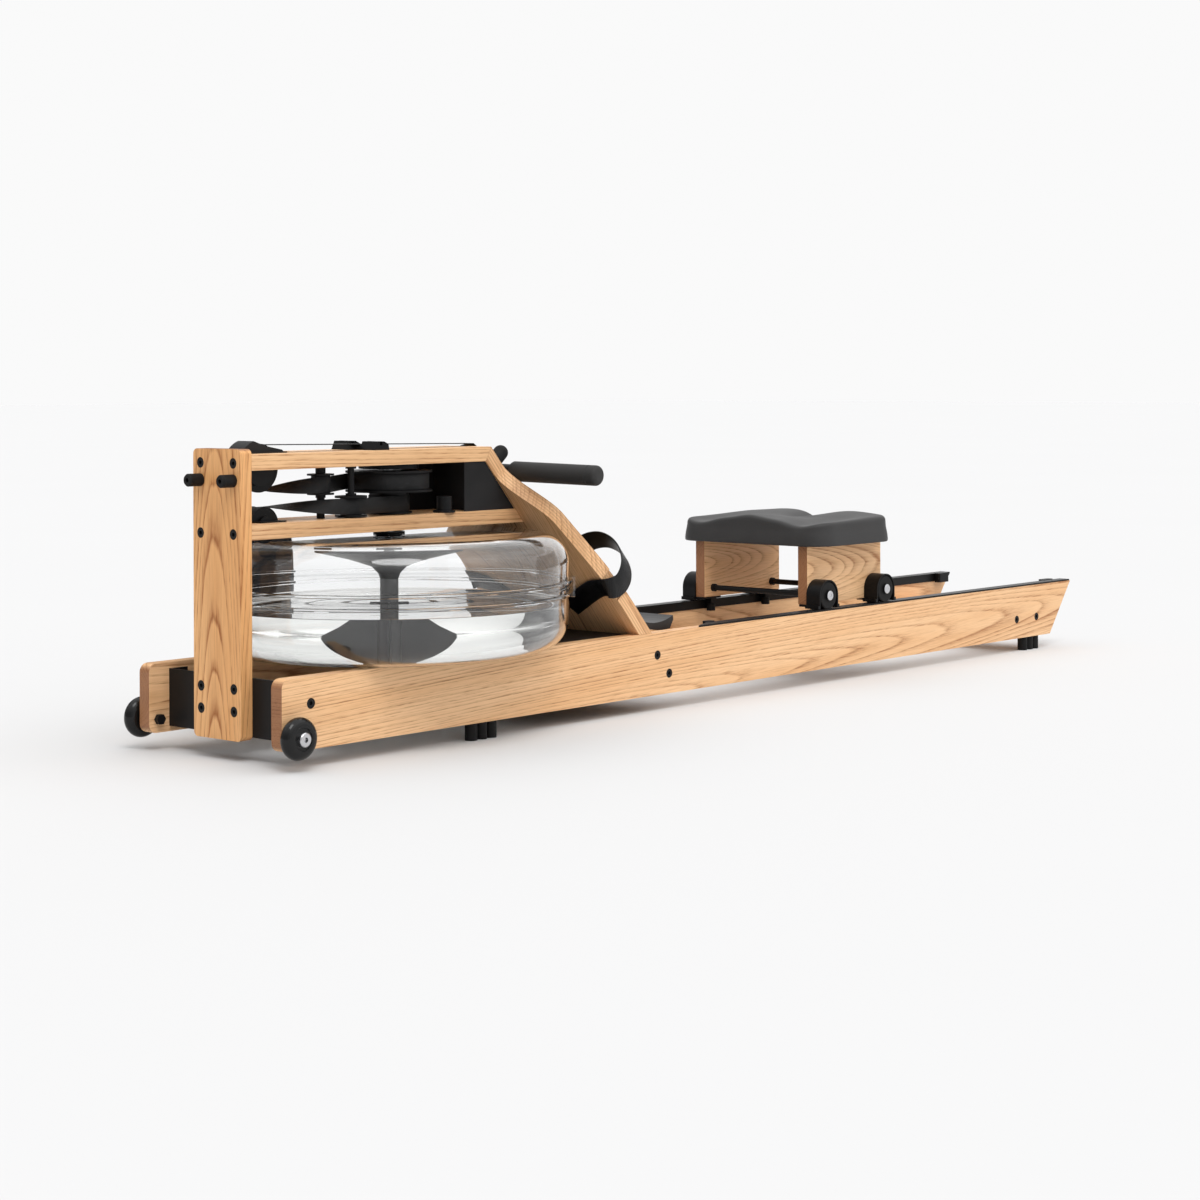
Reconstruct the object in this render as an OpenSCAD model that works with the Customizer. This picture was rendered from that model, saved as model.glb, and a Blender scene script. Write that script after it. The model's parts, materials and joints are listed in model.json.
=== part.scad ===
// Water-tank rowing machine on a wooden frame.
// X runs along the rails from the bow (water tank) to the stern, Y across, Z up.
// The origin is on the floor, midway along and midway across the whole machine.

/* [Frame] */
// Length of each side rail, along its top edge
rail_len = 2090; // [1900:5:2300]
// Height of the rail board
rail_h = 101; // [90:1:120]
// Thickness of the rail board
rail_t = 22; // [18:1:28]
// Half of the clear width between the rails
rail_in = 134.6; // [128:0.2:142]
// Height of the rubber feet under the rails
foot_h = 26; // [20:1:40]
// How much shorter the rail is along its bottom edge, at the stern
stern_rake = 78.5; // [0:0.5:120]

/* [Post and decks] */
// Half of the width of the post and of both decks
deck_hw = 51.8; // [45:0.2:60]
// Thickness of the front post
post_t = 20.9; // [18:0.1:26]
// Bow face of the front post
post_x = 15.7; // [10:0.1:30]
// Top of the front post
post_top = 441.7; // [420:0.1:460]
// Underside of the top deck
top_deck_z = 411; // [400:0.5:420]
// Thickness of the top deck
top_deck_t = 22.8; // [18:0.1:26]
// Underside of the lower deck
low_deck_z = 312.5; // [308:0.5:320]
// Thickness of the lower deck
low_deck_t = 22; // [18:1:26]

/* [Foot board] */
// Slope of the foot board below the horizontal, in degrees
board_slope = 49.4; // [46:0.1:52]
// Thickness of the foot board
board_t = 24; // [20:1:28]
// Length of the foot board down its bow face
board_len = 486; // [460:1:490]

/* [Water tank] */
// Distance of the tank's axis from the bow end of the rails
tank_x = 350.8; // [345:0.1:355]
// Outer radius of the tank's wall
tank_r = 275; // [250:1:278]
// Radius of the tank's seam flanges
tank_flange_r = 280; // [278:1:290]
// Highest point of the tank
tank_top = 304.5; // [290:0.5:306]
// Thickness of the tank's wall
tank_wall = 4; // [3:0.5:6]

/* [Seat] */
// Distance of the seat's middle from the bow end of the rails
seat_x = 1348; // [1250:1:1700]
// Half of the seat's width, across the machine
seat_hw = 166; // [150:1:180]
// Half of the seat's length, along the machine
seat_hl = 120; // [110:1:135]
// Radius of the seat's wheels
seat_wheel_r = 24; // [20:1:26]

/* [Handle] */
// Half of the handle's length, along one arm
handle_arm = 212; // [180:1:240]
// Radius of a foam grip
grip_r = 16; // [14:0.5:18]

/* [Hidden] */
$fn = 48;
eps = 0.01;

// Colours
oak = [0.86, 0.66, 0.44];
ply = [0.80, 0.58, 0.38];
black_steel = [0.12, 0.12, 0.13];
black_plastic = [0.10, 0.10, 0.11];
grey_plastic = [0.27, 0.27, 0.28];
rubber_black = [0.09, 0.09, 0.09];
webbing = [0.14, 0.14, 0.15];
steel = [0.75, 0.76, 0.78];
clear = [0.85, 0.93, 0.96, 0.35];

// Frame heights and places
rail_top = foot_h + rail_h;
rail_out = rail_in + rail_t;
wheel_tr_r = 30;
wheel_tr_x = 16.5;
bow_end = wheel_tr_x - wheel_tr_r;
mid_x = (rail_len + bow_end) / 2;
post_back = post_x + post_t;
low_deck_top = low_deck_z + low_deck_t;
top_deck_top = top_deck_z + top_deck_t;
play = 0.05;

// Foot board: its bow face leaves the top deck's underside at board_x
board_x = 509.2;
mitre_dx = board_t / sin(board_slope) - top_deck_t / tan(board_slope);
neck_len = 28;
neck_flare = [103, 55];
long_flare = [300, rail_out - deck_hw - neck_flare[1]];

// Track on each rail
track_t = 3;
track_x = 905;
track_top = rail_top + track_t;
flange_t = 2.4;
flange_z = 114;
flange_in = rail_in - flange_t;
track_stop_spans = [[958, 978], [2030, 2066]];

// Fasteners
bolt_head_r = 7.6;
bolt_shank_r = 4;
rail_bolts = [[53.3, 89.8], [798, 90.6], [827.4, 58.5], [1888.4, 63.4], [1961.2, 63.9]];
post_bolts = [421.7, 321.4, 103, 71.2];
post_bolt_y = 36;
bumper_z = 397;

// Seat carriage
seat_low = 240;
seat_board_z = 138;
seat_board_out = 127;
seat_board_t = 20;
seat_board_hl = 112.3;
seat_board_x = seat_x + 6.7;
seat_wheel_w = 20;
seat_wheel_y = 146;
seat_wheel_z = track_top + seat_wheel_r + 0.2;
seat_wheel_dx = 87.5;
seat_axle_r = 5;
roller_r = 8;
roller_y = flange_in - roller_r - 0.25;
roller_low = 110;
roller_h = 13;
roller_pin_r = 2.5;
roller_dx = [-73, 91];

// Strap drive, between the decks
strap_w = 24;
strap_t = 1;
drum_r = 60;
shaft_r = 7.95;
shaft_bore = 8;
pulley_x = 82;
pulley_z = 412.5;
pulley_r = 32.6;
slot_hw = 19;
return_x = 92;
return_z = 330;
return_r = 24;
pin_r = 4;
bungee_r = 4.5;
bungee_pulley_r = 20;
bungee_x = return_x - return_r - 0.8 + bungee_pulley_r;
bungee_z = 75;
bungee_back_x = 742;
return_drum_r = 30;
band_z = 385;
return_band_z = 351.5;
upper_post = [205, -8];
upper_spool_r = 14;
lower_post = [248, -27];
lower_spool_r = 16;
boss = [429, -40];
strap_gap = 0.3;

// Handle at rest, against its stops at the top of the foot board
handle_x = 572.4;
handle_z = 394.3;
arm_sweep = 7;
arm_droop = 1.4;
bar_r = 11;
grip_in = 45;
peg_y = 40;
peg_s = 20;
peg_r = 12;
peg_h = 18;

// Foot stretchers
foot_y = 70;
foot_hw = 48;
plate_t = 6;
cup_s = 340;
strap_s = 252;
foot_strap_w = 42;
foot_strap_t = 2.5;
strap_mid = strap_s + foot_strap_w / 2;

function smooth(t) = t * t * (3 - 2 * t);
function flare(s, f) = f[1] * smooth(max(0, min(1, (s - neck_len) / f[0])));
function board_hw(s) = deck_hw + flare(s, neck_flare) + flare(s, long_flare);
function arc(c, r, a0, a1, steps) =
    [for (i = [0 : steps]) c + r * [cos(a0 + (a1 - a0) * i / steps), sin(a0 + (a1 - a0) * i / steps)]];

// ---- placing helpers ----

// Everything is drawn from the rails' bow end, then centred over the origin
module from_bow() {
    translate([-mid_x, 0, 0]) children();
}

// On the foot board: X down the slope, Y across, Z out of its bow face
module on_board() {
    translate([board_x, 0, top_deck_z]) rotate([0, board_slope, 0]) children();
}

// A profile drawn in X and Z, as thick as w along Y and centred on y
module side_slab(w, y = 0) {
    translate([0, y + w / 2, 0]) rotate([90, 0, 0]) linear_extrude(w) children();
}

// A range a to b across the machine on the left, and the same range mirrored on the right
function across(side, a, b) = side > 0 ? [a, b] : [-b, -a];

module box(x, y, z) {
    translate([x[0], y[0], z[0]]) cube([x[1] - x[0], y[1] - y[0], z[1] - z[0]]);
}

module y_rod(r, x, z, y) {
    translate([x, y[0], z]) rotate([-90, 0, 0]) cylinder(r = r, h = y[1] - y[0]);
}

module z_rod(r, x, y, z) {
    translate([x, y, z[0]]) cylinder(r = r, h = z[1] - z[0]);
}

// Round-cornered plate outline
module round_rect(hx, hy, r) {
    square([2 * hx, 2 * (hy - r)], center = true);
    square([2 * (hx - r), 2 * hy], center = true);
    for (sx = [-1, 1], sy = [-1, 1]) translate([sx * (hx - r), sy * (hy - r)]) circle(r);
}

// Flanged wheel: core radius r, width w between flanges, bore for its pin
module spool(r, w, flange, flange_w, bore) {
    difference() {
        union() {
            cylinder(r = r, h = w + 2 * flange_w, center = true);
            for (s = [-1, 1]) translate([0, 0, s * (w + flange_w) / 2])
                cylinder(r = flange, h = flange_w, center = true);
        }
        cylinder(r = bore, h = w + 4 * flange_w, center = true);
    }
}

// ---- frame ----

module rail_profile() {
    r = 13;
    polygon(concat(
        arc([r, foot_h + r], r, 270, 180, 6),
        arc([r, rail_top - r], r, 180, 90, 6),
        [[rail_len, rail_top], [rail_len - stern_rake, foot_h]]));
}

module rail(side) {
    color(oak) from_bow() difference() {
        side_slab(rail_t, side * (rail_in + rail_t / 2)) rail_profile();
        for (b = rail_bolts) {
            y_rod(bolt_shank_r, b[0], b[1], across(side, rail_in - 1, rail_out + 1));
            y_rod(bolt_head_r, b[0], b[1], across(side, rail_out - 5, rail_out + 1));
        }
        y_rod(5, wheel_tr_x, foot_h + 20, across(side, rail_in - 1, rail_out + 1));
    }
}
module rail_left() rail(1);
module rail_right() rail(-1);

// Running strip: flat on the rail's top with a lip down its inner face
module track(side) {
    slant = 44;
    color(black_plastic) from_bow() {
        translate([0, 0, rail_top]) linear_extrude(track_t) polygon([
            [track_x, side * (rail_out - 1.5)], [rail_len - 0.5, side * (rail_out - 1.5)],
            [rail_len - 0.5, side * flange_in], [track_x + slant, side * flange_in],
            [track_x + slant, side * rail_in]]);
        side_slab(flange_t, side * (flange_in + rail_in) / 2)
            polygon([[track_x + slant, rail_top + eps], [track_x + slant + 14, flange_z],
                     [rail_len - 12, flange_z], [rail_len - 0.5, rail_top + eps]]);
    }
}
module track_left() track(1);
module track_right() track(-1);

module track_stops() {
    color(black_plastic) from_bow()
        for (side = [-1, 1], span = track_stop_spans)
            translate([(span[0] + span[1]) / 2, side * (flange_in - 7), 112]) linear_extrude(19)
                round_rect((span[1] - span[0]) / 2, 7, 4);
}

module socket_bolt(shank) {
    difference() {
        union() {
            cylinder(r = bolt_head_r - 0.2, h = 4.6);
            translate([0, 0, -shank]) cylinder(r = bolt_shank_r - 0.1, h = shank);
        }
        translate([0, 0, 1.6]) cylinder(r = 3.4, h = 4, $fn = 6);
    }
}

// All the frame's bolts: through the rails, through the post, and the wheels' axle bolts
module frame_bolts() {
    color(black_steel) from_bow() {
        for (side = [-1, 1]) {
            for (b = rail_bolts)
                translate([b[0], side * (rail_out - 5), b[1]]) rotate([-side * 90, 0, 0]) socket_bolt(28);
            translate([wheel_tr_x, side * (rail_out + 26.5), foot_h + 20]) rotate([-side * 90, 0, 0]) {
                socket_bolt(0.01);
                translate([0, 0, -56.5]) cylinder(r = 4.95, h = 56.5 + eps);
                translate([0, 0, -56.5]) cylinder(r = 8, h = 7.4, $fn = 6);
            }
        }
        for (y = [-1, 1] * post_bolt_y, z = post_bolts)
            translate([post_x + 5, y, z]) rotate([0, -90, 0]) socket_bolt(40);
    }
}

// Rows of three round pads under each end of the machine
module rubber_feet() {
    color(rubber_black) from_bow()
        for (side = [-1, 1], x0 = [379, 1925], i = [0 : 2])
            z_rod(9.5, x0 + 20.5 * i, side * (rail_in + 11.5), [0, foot_h]);
}

module front_spreader() {
    low = 34;
    high = 118;
    plate = 3;
    color(black_steel) from_bow() difference() {
        union() {
            box([post_back, post_back + plate], [-rail_in, rail_in], [low, high]);
            for (side = [-1, 1])
                box([post_back, post_back + 32], across(side, rail_in - plate, rail_in), [low, high]);
            box([post_back, post_back + 20], [-rail_in, rail_in], [low, low + plate]);
        }
        for (side = [-1, 1])
            y_rod(bolt_shank_r, rail_bolts[0][0], rail_bolts[0][1], across(side, rail_in - 6, rail_in + 1));
        for (y = [-1, 1] * post_bolt_y, z = [post_bolts[2], post_bolts[3]])
            translate([post_back - 1, y, z]) rotate([0, 90, 0]) cylinder(r = bolt_shank_r, h = 6);
    }
}

// Steel plate between the rails, from under the tank to the foot board
module tank_plate() {
    top = rail_top - 0.5;
    x0 = 520;
    board_at = board_x + (top_deck_z - top) / tan(board_slope);
    color(black_steel) from_bow() {
        side_slab(2 * rail_in) polygon([[x0, top - 3], [board_at + 3 / tan(board_slope) - 0.05, top - 3],
                                        [board_at - 0.05, top], [x0, top]]);
        for (side = [-1, 1])
            box([x0, x0 + 180], across(side, rail_in - 3, rail_in), [84, top]);
        box([x0, x0 + 3], [-rail_in, rail_in], [84, top]);
    }
}

module stern_spreader() {
    color(oak) from_bow() difference() {
        box([1868, 1982], [-rail_in, rail_in], [52, 75.5]);
        for (side = [-1, 1], i = [3, 4])
            y_rod(bolt_shank_r, rail_bolts[i][0], rail_bolts[i][1], across(side, rail_in - 14, rail_in + 1));
    }
}

module front_post() {
    low = 29.8;
    color(oak) from_bow() difference() {
        translate([post_x, 0, (low + post_top) / 2]) rotate([0, 90, 0]) linear_extrude(post_t)
            round_rect((post_top - low) / 2, deck_hw, 8);
        for (y = [-1, 1] * post_bolt_y) {
            for (z = post_bolts) translate([post_x - 1, y, z]) rotate([0, 90, 0]) {
                cylinder(r = bolt_shank_r, h = post_t + 2);
                cylinder(r = bolt_head_r, h = 6);
            }
            translate([post_x - 1, y, bumper_z]) rotate([0, 90, 0]) cylinder(r = 3, h = 13);
        }
    }
}

module deck_bolt_holes(z) {
    for (y = [-1, 1] * post_bolt_y)
        translate([post_back - 1, y, z]) rotate([0, 90, 0]) cylinder(r = bolt_shank_r, h = 27);
}

module top_deck() {
    color(oak) from_bow() difference() {
        side_slab(2 * deck_hw) polygon([
            [post_back, top_deck_z], [board_x, top_deck_z],
            [board_x + mitre_dx, top_deck_top], [post_back, top_deck_top]]);
        box([pulley_x - 39, pulley_x + 41], [-slot_hw, slot_hw], [top_deck_z - 1, top_deck_top + 1]);
        deck_bolt_holes(post_bolts[0]);
    }
}

module lower_deck() {
    far_top = board_x + (top_deck_z - low_deck_top) / tan(board_slope) - 0.02;
    far_low = board_x + (top_deck_z - low_deck_z) / tan(board_slope) - 0.02;
    color(oak) from_bow() difference() {
        side_slab(2 * deck_hw) polygon([
            [post_back, low_deck_z], [far_low, low_deck_z],
            [far_top, low_deck_top], [post_back, low_deck_top]]);
        box([return_x - 31, return_x + 33], [-19, 19], [low_deck_z - 1, low_deck_top + 1]);
        z_rod(16, tank_x, 0, [low_deck_z - 1, low_deck_top + 1]);
        deck_bolt_holes(post_bolts[1]);
    }
}

// Sloping plywood board: a neck at the deck, flaring to stand on the rails, with a tongue between them
module foot_board() {
    steps = 30;
    near = concat([[-40, -deck_hw]],
                  [for (i = [0 : steps]) let (s = neck_len + long_flare[0] * i / steps) [s, -board_hw(s)]],
                  [[board_len, -rail_out]]);
    far = [for (i = [len(near) - 1 : -1 : 0]) [near[i][0], -near[i][1]]];
    color(ply) from_bow() difference() {
        on_board() linear_extrude(board_t) polygon(concat(near, far));
        // mitre against the top deck
        translate([board_x, -100, top_deck_z]) rotate([0, atan(mitre_dx / top_deck_t), 0])
            translate([-60, 0, -30]) cube([60, 200, 90]);
        // trimmed flush with the deck's top
        box([board_x - 20, board_x + 90], [-100, 100], [top_deck_top, top_deck_top + 40]);
        for (side = [-1, 1]) {
            // shoulder that stands on the rail
            box([board_x + 100, board_x + 400], across(side, rail_in, rail_out + 5), [0, rail_top]);
            // notch that the foot strap passes round
            on_board() translate([strap_mid, side * (board_hw(strap_mid) + 3), -1])
                rotate([0, 0, side * 8.5]) translate([-foot_strap_w / 2 - 2, -6, 0])
                cube([foot_strap_w + 4, 12, board_t + 2]);
            for (bolt = [rail_bolts[1], rail_bolts[2]])
                y_rod(bolt_shank_r, bolt[0], bolt[1], across(side, rail_in - 14, rail_in + 1));
        }
    }
}

// Bumpers on the post, for standing the machine on its bow end, and the handle's two stops
module rubber_stops() {
    color(rubber_black) from_bow() {
        for (y = [-1, 1] * post_bolt_y)
            translate([post_x - 24, y, bumper_z]) rotate([0, 90, 0]) difference() {
                union() {
                    translate([0, 0, 2]) cylinder(r = 9.25, h = 22);
                    cylinder(r1 = 7.6, r2 = 9.25, h = 2);
                    translate([0, 0, 24 - eps]) cylinder(r = 2.9, h = 10);
                }
                translate([0, 0, -1]) cylinder(r = 3.4, h = 9);
            }
        on_board() for (y = [-1, 1] * peg_y) translate([peg_s, y, board_t]) {
            cylinder(r = peg_r, h = peg_h);
            translate([0, 0, peg_h]) sphere(r = peg_r);
        }
    }
}

// ---- water tank ----

tank_seam = 222.5;
tank_low = rail_top;
tank_edge = 48;

// Outline of the tank's wall in radius and height, from the axis outwards and up, for one wall thickness
function low_shell(off) = concat(
    [[0, tank_low + off]],
    arc([tank_r - 50, tank_low + 50], 50 - off, 270, 360, 9),
    [[tank_r - off, tank_seam - 1]]);
function high_shell(off) = concat(
    [[tank_r - off, tank_seam + 1]],
    arc([tank_r - tank_edge, tank_top - tank_edge], tank_edge - off, 0, 90, 9),
    [[20, tank_top - off]]);
function reversed(p) = [for (i = [len(p) - 1 : -1 : 0]) p[i]];

module at_tank() {
    from_bow() translate([tank_x, 0, 0]) children();
}

module seam_flange(z) {
    rotate_extrude($fn = 96) translate([tank_r - 1, z]) square([tank_flange_r - tank_r + 1, 5]);
}

module tank_lower() {
    color(clear) at_tank() {
        rotate_extrude($fn = 96) polygon(concat(low_shell(0), reversed(low_shell(tank_wall))));
        seam_flange(tank_seam - 12);
    }
}

module tank_upper() {
    color(clear) difference() {
        at_tank() {
            rotate_extrude($fn = 96) polygon(concat(high_shell(0), reversed(high_shell(tank_wall))));
            seam_flange(tank_seam + 7);
        }
        at_tank() z_rod(14, 0, 150, [tank_top - 10, tank_top + 5]);
    }
}

module tank_seal() {
    color(grey_plastic) at_tank() rotate_extrude($fn = 96)
        translate([tank_r - tank_wall, tank_seam - 1]) square([tank_wall + 1.5, 2]);
}

// Clips that hold the two halves together
module tank_latches() {
    color(clear) at_tank() for (turn = [131, 311]) rotate([0, 0, turn])
        difference() {
            translate([tank_flange_r - 3, -9, tank_seam - 15]) cube([6.5, 18, 30]);
            translate([0, -10, tank_seam - 12.2]) cube([tank_flange_r + 0.3, 20, 24.4]);
        }
}

module tank_plug() {
    color(rubber_black) at_tank() translate([0, 150, 0]) {
        z_rod(13.8, 0, 0, [tank_top - 8, tank_top + 0.4]);
        z_rod(17, 0, 0, [tank_top + 0.3, tank_top + 3.5]);
    }
}

// Bearing under the top deck, bearing in the lower deck, gland in the tank's top, cup on its floor
module shaft_bearings() {
    color(black_plastic) at_tank() {
        difference() {
            z_rod(46, 0, 0, [top_deck_z - 7, top_deck_z]);
            z_rod(shaft_bore, 0, 0, [top_deck_z - 8, top_deck_z - 1]);
        }
        difference() {
            union() {
                z_rod(16, 0, 0, [low_deck_z, low_deck_top]);
                z_rod(24, 0, 0, [low_deck_z - 3, low_deck_z]);
            }
            z_rod(shaft_bore, 0, 0, [low_deck_z - 4, low_deck_top + 1]);
        }
        difference() {
            union() {
                z_rod(24, 0, 0, [tank_top, tank_top + 3]);
                z_rod(19.8, 0, 0, [tank_top - 7, tank_top]);
            }
            z_rod(shaft_bore, 0, 0, [tank_top - 60, tank_top + 4]);
        }
        difference() {
            z_rod(18, 0, 0, [tank_low + tank_wall, tank_low + tank_wall + 14]);
            z_rod(shaft_bore, 0, 0, [tank_low + tank_wall + 4, tank_low + 40]);
        }
    }
}

// Paddle: tapering blades under water, and a wide splash cone on the same sleeve near the tank's top
module paddle_wheel() {
    blades = 4;
    low = 147;
    sleeve = 14;
    blade = [[sleeve - 2, low], [20, low], [20, 134], [42, 136], [68, 146], [79, 157], [57, 170], [43, 181],
             [33, 192], [29, 201], [sleeve - 2, 201]];
    cone = [[0, low], [sleeve, low], [sleeve, 236], [17, 245], [27, 257], [62, 271], [112, 286], [113, 291], [0, 291]];
    color(black_plastic) at_tank() difference() {
        union() {
            rotate_extrude() polygon(cone);
            for (i = [0 : blades - 1]) rotate([0, 0, 45 + 360 / blades * i]) side_slab(3) polygon(blade);
        }
        z_rod(shaft_r, 0, 0, [low - 1, tank_top]);
    }
}

module paddle_shaft() {
    color(steel) at_tank() z_rod(shaft_r, 0, 0, [tank_low + tank_wall + 5, top_deck_z - 1.5]);
}

// ---- strap drive ----

// Large drum for the handle's strap above, small drum for the return strap below
module strap_drum() {
    color(black_plastic) at_tank() difference() {
        union() {
            z_rod(drum_r, 0, 0, [band_z - 16, band_z + 16]);
            z_rod(drum_r + 6, 0, 0, [band_z - 16, band_z - 13]);
            z_rod(drum_r + 6, 0, 0, [band_z + 13, band_z + 16]);
            z_rod(return_drum_r, 0, 0, [low_deck_top + 1.5, band_z - 15]);
            z_rod(return_drum_r + 5, 0, 0, [low_deck_top + 1.5, low_deck_top + 4]);
        }
        z_rod(shaft_bore, 0, 0, [low_deck_top, top_deck_z]);
    }
}

module strap_pulley() {
    color(black_plastic) from_bow() translate([pulley_x, 0, pulley_z]) rotate([90, 0, 0])
        spool(pulley_r, strap_w + 1, pulley_r + 2.6, 2, pin_r + play);
}

module return_pulley() {
    color(black_plastic) from_bow() translate([return_x, 0, return_z]) rotate([90, 0, 0])
        spool(return_r, strap_w + 1, return_r + 2.4, 1.5, pin_r + play);
}

module bungee_pulley() {
    color(black_plastic) from_bow() translate([bungee_x, 0, bungee_z]) rotate([90, 0, 0])
        spool(bungee_pulley_r - bungee_r, 10, bungee_pulley_r + 3, 2, pin_r + play);
}

module guide_spool_upper() {
    color(black_plastic) from_bow() translate([upper_post[0], upper_post[1], band_z])
        spool(upper_spool_r, strap_w + 2, 20, 2.5, 6 + play);
}

module guide_spool_lower() {
    color(black_plastic) from_bow() translate([lower_post[0], lower_post[1], return_band_z])
        spool(lower_spool_r, strap_w + 1, 24, 3, 5 + play);
}

// Posts between the decks, each with a spool that guides a strap, and a short boss behind the drum
module guide_posts() {
    color(black_steel) from_bow() {
        z_rod(6, upper_post[0], upper_post[1], [low_deck_top, top_deck_z]);
        z_rod(7.5, upper_post[0], upper_post[1], [band_z - 20, band_z - 15.8]);
        z_rod(7.5, upper_post[0], upper_post[1], [band_z + 15.8, top_deck_z]);
        z_rod(5, lower_post[0], lower_post[1], [low_deck_top, top_deck_z]);
        z_rod(8, lower_post[0], lower_post[1], [low_deck_top, return_band_z - 15.8]);
        z_rod(8, lower_post[0], lower_post[1], [return_band_z + 15.8, return_band_z + 19]);
        z_rod(8, lower_post[0], lower_post[1], [top_deck_z - 4, top_deck_z]);
        z_rod(12, boss[0], boss[1], [low_deck_top, low_deck_top + 25]);
        z_rod(17, boss[0], boss[1], [low_deck_top, low_deck_top + 3]);
    }
}

// Side plates and pins that carry the strap pulley, the return pulley and the bungee's pulley
module pulley_brackets() {
    color(black_steel) from_bow() {
        for (side = [-1, 1]) {
            side_slab(2, side * (slot_hw - 2)) difference() {
                union() {
                    translate([pulley_x - 26, pulley_z]) square([62, top_deck_top - pulley_z]);
                    translate([pulley_x, pulley_z]) circle(26);
                }
                translate([pulley_x - 30, top_deck_top - 0.1]) square([80, 10]);
            }
            side_slab(2, side * 17.5) {
                translate([return_x - 20, return_z - 4]) square([40, low_deck_top - return_z + 4]);
                translate([return_x, return_z]) circle(13);
            }
            box([return_x - 24, return_x + 24], across(side, 16.5, 34), [low_deck_top, low_deck_top + 2]);
            side_slab(2, side * 10.5) {
                translate([post_back + 3.05, bungee_z - 12]) square([bungee_x - post_back, 24]);
                translate([bungee_x + 4, bungee_z]) circle(12);
            }
        }
        y_rod(pin_r, pulley_x, pulley_z, [0.5 - slot_hw, slot_hw - 0.5]);
        y_rod(pin_r, return_x, return_z, [-19, 19]);
        y_rod(pin_r, bungee_x, bungee_z, [-12, 12]);
    }
}

// All the fixed metalwork that carries the straps' wheels
module strap_supports() {
    guide_posts();
    pulley_brackets();
}

// Cover over the strap pulley: half round at the bow, open above and sloping down at the stern
module pulley_hood() {
    r = 41;
    skin = 2;
    half = 17;
    open_x = -12;
    inside = [skin - half, half - skin];
    color(grey_plastic) from_bow() difference() {
        union() {
            side_slab(2 * half) intersection() {
                translate([pulley_x, pulley_z]) circle(r, $fn = 96);
                translate([pulley_x - r, top_deck_top + skin / 2]) square([r + open_x + eps, r]);
            }
            side_slab(2 * half) translate([pulley_x, top_deck_top])
                polygon([[open_x, skin / 2], [45, skin / 2], [41, 4.5], [10, 10.5], [open_x, 17.9]]);
            box([pulley_x - 44, pulley_x + 46], [-half - 6, half + 6], [top_deck_top, top_deck_top + skin]);
        }
        side_slab(2 * half - 2 * skin) translate([pulley_x, pulley_z]) circle(r - skin, $fn = 96);
        box([pulley_x + open_x, pulley_x + 38], inside, [top_deck_top - 1, pulley_z + r]);
        box([pulley_x - 38, pulley_x + 38], inside, [top_deck_top - 1, top_deck_top + 3 * skin]);
    }
}

// ---- straps: each is one ribbon, swept along [point, direction of its width] stations ----

function unit(v) = v / norm(v);
function mid_r(r) = r + strap_gap + strap_t / 2;
function on_circle(c, r, a) = c + r * [cos(a), sin(a)];

// Stations of an upright strap round a wheel that turns about Z
function upright_bend(c, r, a0, a1, z, steps) = [for (i = [0 : steps])
    let (p = on_circle(c, r, a0 + (a1 - a0) * i / steps)) [[p[0], p[1], z], [0, 0, 1]]];

// Stations of a strap lying flat round a wheel that turns about Y
function flat_bend(c, r, a0, a1, steps) = [for (i = [0 : steps])
    let (p = on_circle(c, r, a0 + (a1 - a0) * i / steps)) [[p[0], 0, p[1]], [0, 1, 0]]];

// Stations of the quarter turn between two points, both ends left out
function quarter_twist(from, to, steps) = [for (i = [1 : steps - 1])
    let (t = i / steps, a = 90 * t) [from + (to - from) * t, [0, sin(a), cos(a)]]];

function along(s, i) = unit(s[min(i + 1, len(s) - 1)][0] - s[max(i - 1, 0)][0]);
function section(s, i) =
    let (n = unit(cross(along(s, i), s[i][1])), w = cross(n, along(s, i)))
    [for (k = [[-1, -1], [1, -1], [1, 1], [-1, 1]]) s[i][0] + w * k[0] * strap_w / 2 + n * k[1] * strap_t / 2];

// Opposite faces are split along matching diagonals, so that a twisted strap keeps its thickness
module ribbon(s) {
    last = 4 * (len(s) - 1);
    points = [for (i = [0 : len(s) - 1]) each section(s, i)];
    sides = [for (i = [0 : len(s) - 2], k = [0 : 3]) let (a = 4 * i + k, b = 4 * i + (k + 1) % 4)
        each k < 2 ? [[a, b + 4, b], [a, a + 4, b + 4]] : [[a, a + 4, b], [a + 4, b + 4, b]]];
    ends = [[0, 1, 2], [0, 2, 3], [last, last + 2, last + 1], [last, last + 3, last + 2]];
    polyhedron(points, concat(sides, ends));
}

// Angle on a wheel at which a strap from a point meets it, with the wheel on the strap's left
function meet(from, c, r) = atan2(c[1] - from[1], c[0] - from[0]) - asin(r / norm(c - from)) - 90;

lip = [board_x + mitre_dx + 1, top_deck_top + 4.1];

// Handle strap: large drum, upper spool, quarter twist, round the strap pulley and over the deck to its end
module drive_strap() {
    drum = [tank_x, 0];
    pulley = [pulley_x, pulley_z];
    ra = mid_r(upper_spool_r) + 3 * play;
    rd = mid_r(drum_r);
    rp = mid_r(pulley_r);
    a_in = meet([pulley_x, 0], upper_post, ra);
    centres = drum - upper_post;
    a_out = atan2(centres[1], centres[0]) + asin((ra + rd) / norm(centres)) - 90;
    arrive = on_circle(upper_post, ra, a_in);
    flat_from = [pulley_x + 16, 0, pulley_z - rp];
    color(webbing) from_bow() ribbon(concat(
        upright_bend(drum, rd, a_out - 165, a_out + 180, band_z, 46),
        upright_bend(upper_post, ra, a_out, a_in, band_z, 4),
        quarter_twist([arrive[0], arrive[1], band_z], flat_from, 10),
        [[flat_from, [0, 1, 0]]],
        flat_bend(pulley, rp, 270, 90, 14),
        [[[lip[0], 0, lip[1]], [0, 1, 0]]]));
}

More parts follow.
